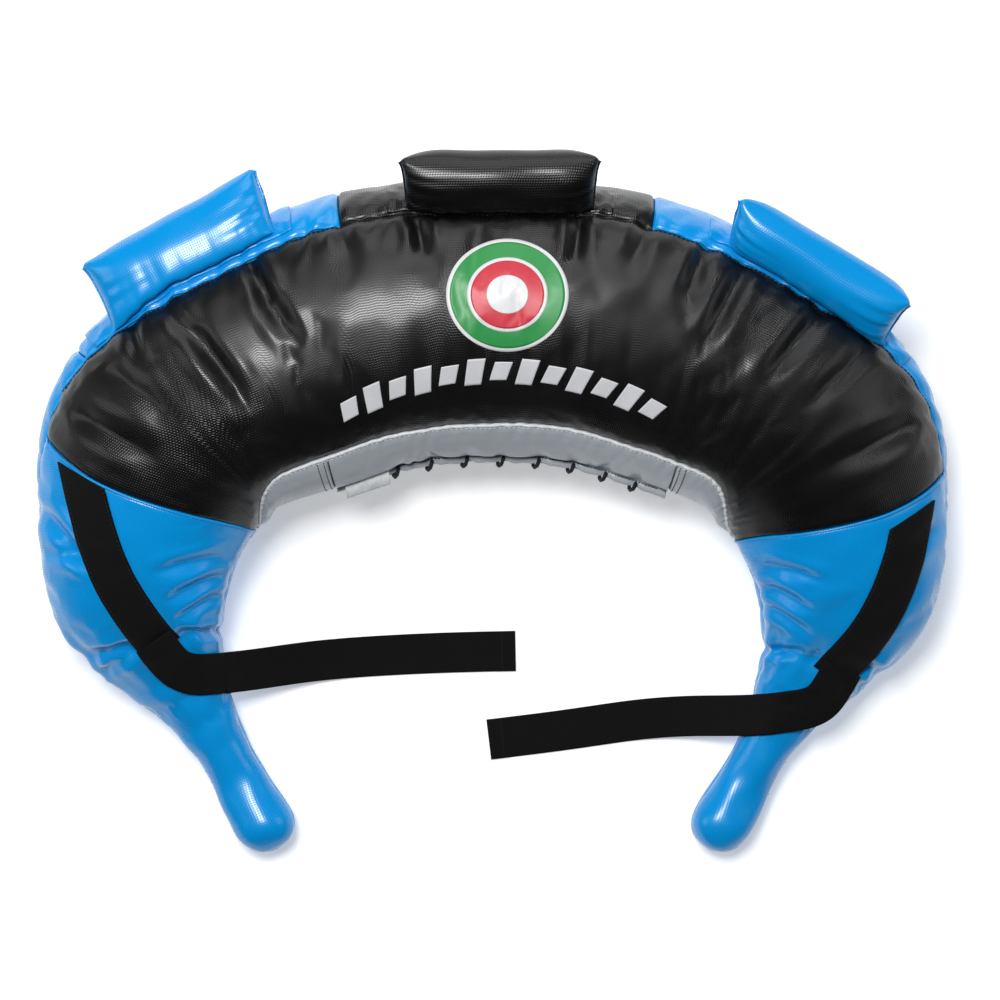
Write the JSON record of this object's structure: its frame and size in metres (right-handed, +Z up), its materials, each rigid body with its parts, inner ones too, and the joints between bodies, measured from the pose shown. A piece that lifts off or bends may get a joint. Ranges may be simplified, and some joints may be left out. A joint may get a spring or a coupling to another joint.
{
  "type": "crescent weighted training bag",
  "caption": "Crescent-shaped sand-filled training bag with padded side handles, a laced inner closure, two tapered end grips and webbing straps with free tails.",
  "frame": {"origin": "the centre of the whole object's box in plan, at the floor that the bag lies on", "axes": "+X to the right along the bag's length, +Y from the grips to the middle handle, +Z up, from the back panels to the front panels"},
  "size_m": [0.6555, 0.5025, 0.1495],
  "materials": {
    "black_vinyl": "glossy black vinyl over a woven scrim, about 1 mm weave showing",
    "blue_vinyl": "glossy bright blue vinyl over a woven scrim",
    "grey_vinyl": "satin silver-grey vinyl with a rolled white edge",
    "black_webbing": "matte woven black webbing, 30 mm wide",
    "black_cord": "braided black cord, 3 mm",
    "white_tape": "coarse white backing tape",
    "foam": "soft foam, hidden inside the handles",
    "stuffing": "packed fibre, hidden inside the horns and grips",
    "sand_canvas": "canvas bags of sand, hidden inside the bag"
  },
  "bodies": {
    "bag": {"back_centre_panel": "black_vinyl", "back_left_panel": "blue_vinyl", "back_right_panel": "blue_vinyl", "closure_lace": "black_cord", "closure_lower_flap": "grey_vinyl", "closure_tab": "white_tape", "closure_upper_flap": "grey_vinyl", "front_centre_panel": "black_vinyl", "front_left_panel": "blue_vinyl", "front_right_panel": "blue_vinyl", "handle_centre_base": "black_vinyl", "handle_left_base": "blue_vinyl", "handle_right_base": "blue_vinyl", "horn_stuffing_left": "stuffing", "horn_stuffing_right": "stuffing", "inner_band_left": "grey_vinyl", "inner_band_right": "grey_vinyl", "neck_tie_left": "black_cord", "neck_tie_right": "black_cord", "outer_gusset_centre": "black_vinyl", "outer_gusset_left": "blue_vinyl", "outer_gusset_left_end": "blue_vinyl", "outer_gusset_right": "blue_vinyl", "outer_gusset_right_end": "blue_vinyl", "sand_bag_1": "sand_canvas", "sand_bag_2": "sand_canvas", "sand_bag_3": "sand_canvas", "sand_bag_4": "sand_canvas", "sand_bag_5": "sand_canvas", "sand_bag_6": "sand_canvas", "sand_bag_7": "sand_canvas", "strap_left_run": "black_webbing", "strap_right_run": "black_webbing"},
    "handle_left": {"handle_left_cover": "blue_vinyl", "handle_left_core": "foam"},
    "handle_centre": {"handle_centre_cover": "black_vinyl", "handle_centre_core": "foam"},
    "handle_right": {"handle_right_cover": "blue_vinyl", "handle_right_core": "foam"},
    "grip_left": {"grip_left_front_panel": "blue_vinyl", "grip_left_back_panel": "blue_vinyl", "grip_left_core": "stuffing", "strap_left_wrap": "black_webbing"},
    "strap_tail_left": {"strap_left_tail": "black_webbing"},
    "grip_right": {"grip_right_front_panel": "blue_vinyl", "grip_right_back_panel": "blue_vinyl", "grip_right_core": "stuffing", "strap_right_wrap": "black_webbing"},
    "strap_tail_right": {"strap_right_tail": "black_webbing"}
  },
  "joints": [
    {"name": "handle_left_rock", "type": "hinge", "parent": "bag", "child": "handle_left", "pos_m": [-0.21334, 0.17812, 0.10171], "axis": [0.8698, 0.4934, 0], "range_deg": [-30, 25], "stiffness_Nm_per_rad": 0.4},
    {"name": "handle_centre_rock", "type": "hinge", "parent": "bag", "child": "handle_centre", "pos_m": [0.00536, 0.22445, 0.11371], "axis": [1, 0.0052, 0], "range_deg": [-45, 5], "stiffness_Nm_per_rad": 0.4},
    {"name": "handle_right_rock", "type": "hinge", "parent": "bag", "child": "handle_right", "pos_m": [0.22399, 0.16583, 0.11083], "axis": [0.8517, -0.5241, 0], "range_deg": [-48, 2], "stiffness_Nm_per_rad": 0.4},
    {"name": "grip_left_flex", "type": "hinge", "parent": "bag", "child": "grip_left", "pos_m": [-0.24822, -0.09911, 0.04123], "axis": [0, 0, 1], "range_deg": [-7, 12], "stiffness_Nm_per_rad": 3},
    {"name": "grip_right_flex", "type": "hinge", "parent": "bag", "child": "grip_right", "pos_m": [0.23995, -0.11281, 0.03541], "axis": [0, 0, -1], "range_deg": [-12, 7], "stiffness_Nm_per_rad": 3},
    {"name": "strap_left_lift", "type": "hinge", "parent": "grip_left", "child": "strap_tail_left", "pos_m": [-0.204, -0.11995, 0.05702], "axis": [0.0216, -0.9605, -0.2775], "range_deg": [0, 90]},
    {"name": "strap_right_lift", "type": "hinge", "parent": "grip_right", "child": "strap_tail_right", "pos_m": [0.21701, -0.14716, 0.05388], "axis": [-0.1424, 0.9387, 0.314], "range_deg": [0, 90]}
  ]
}
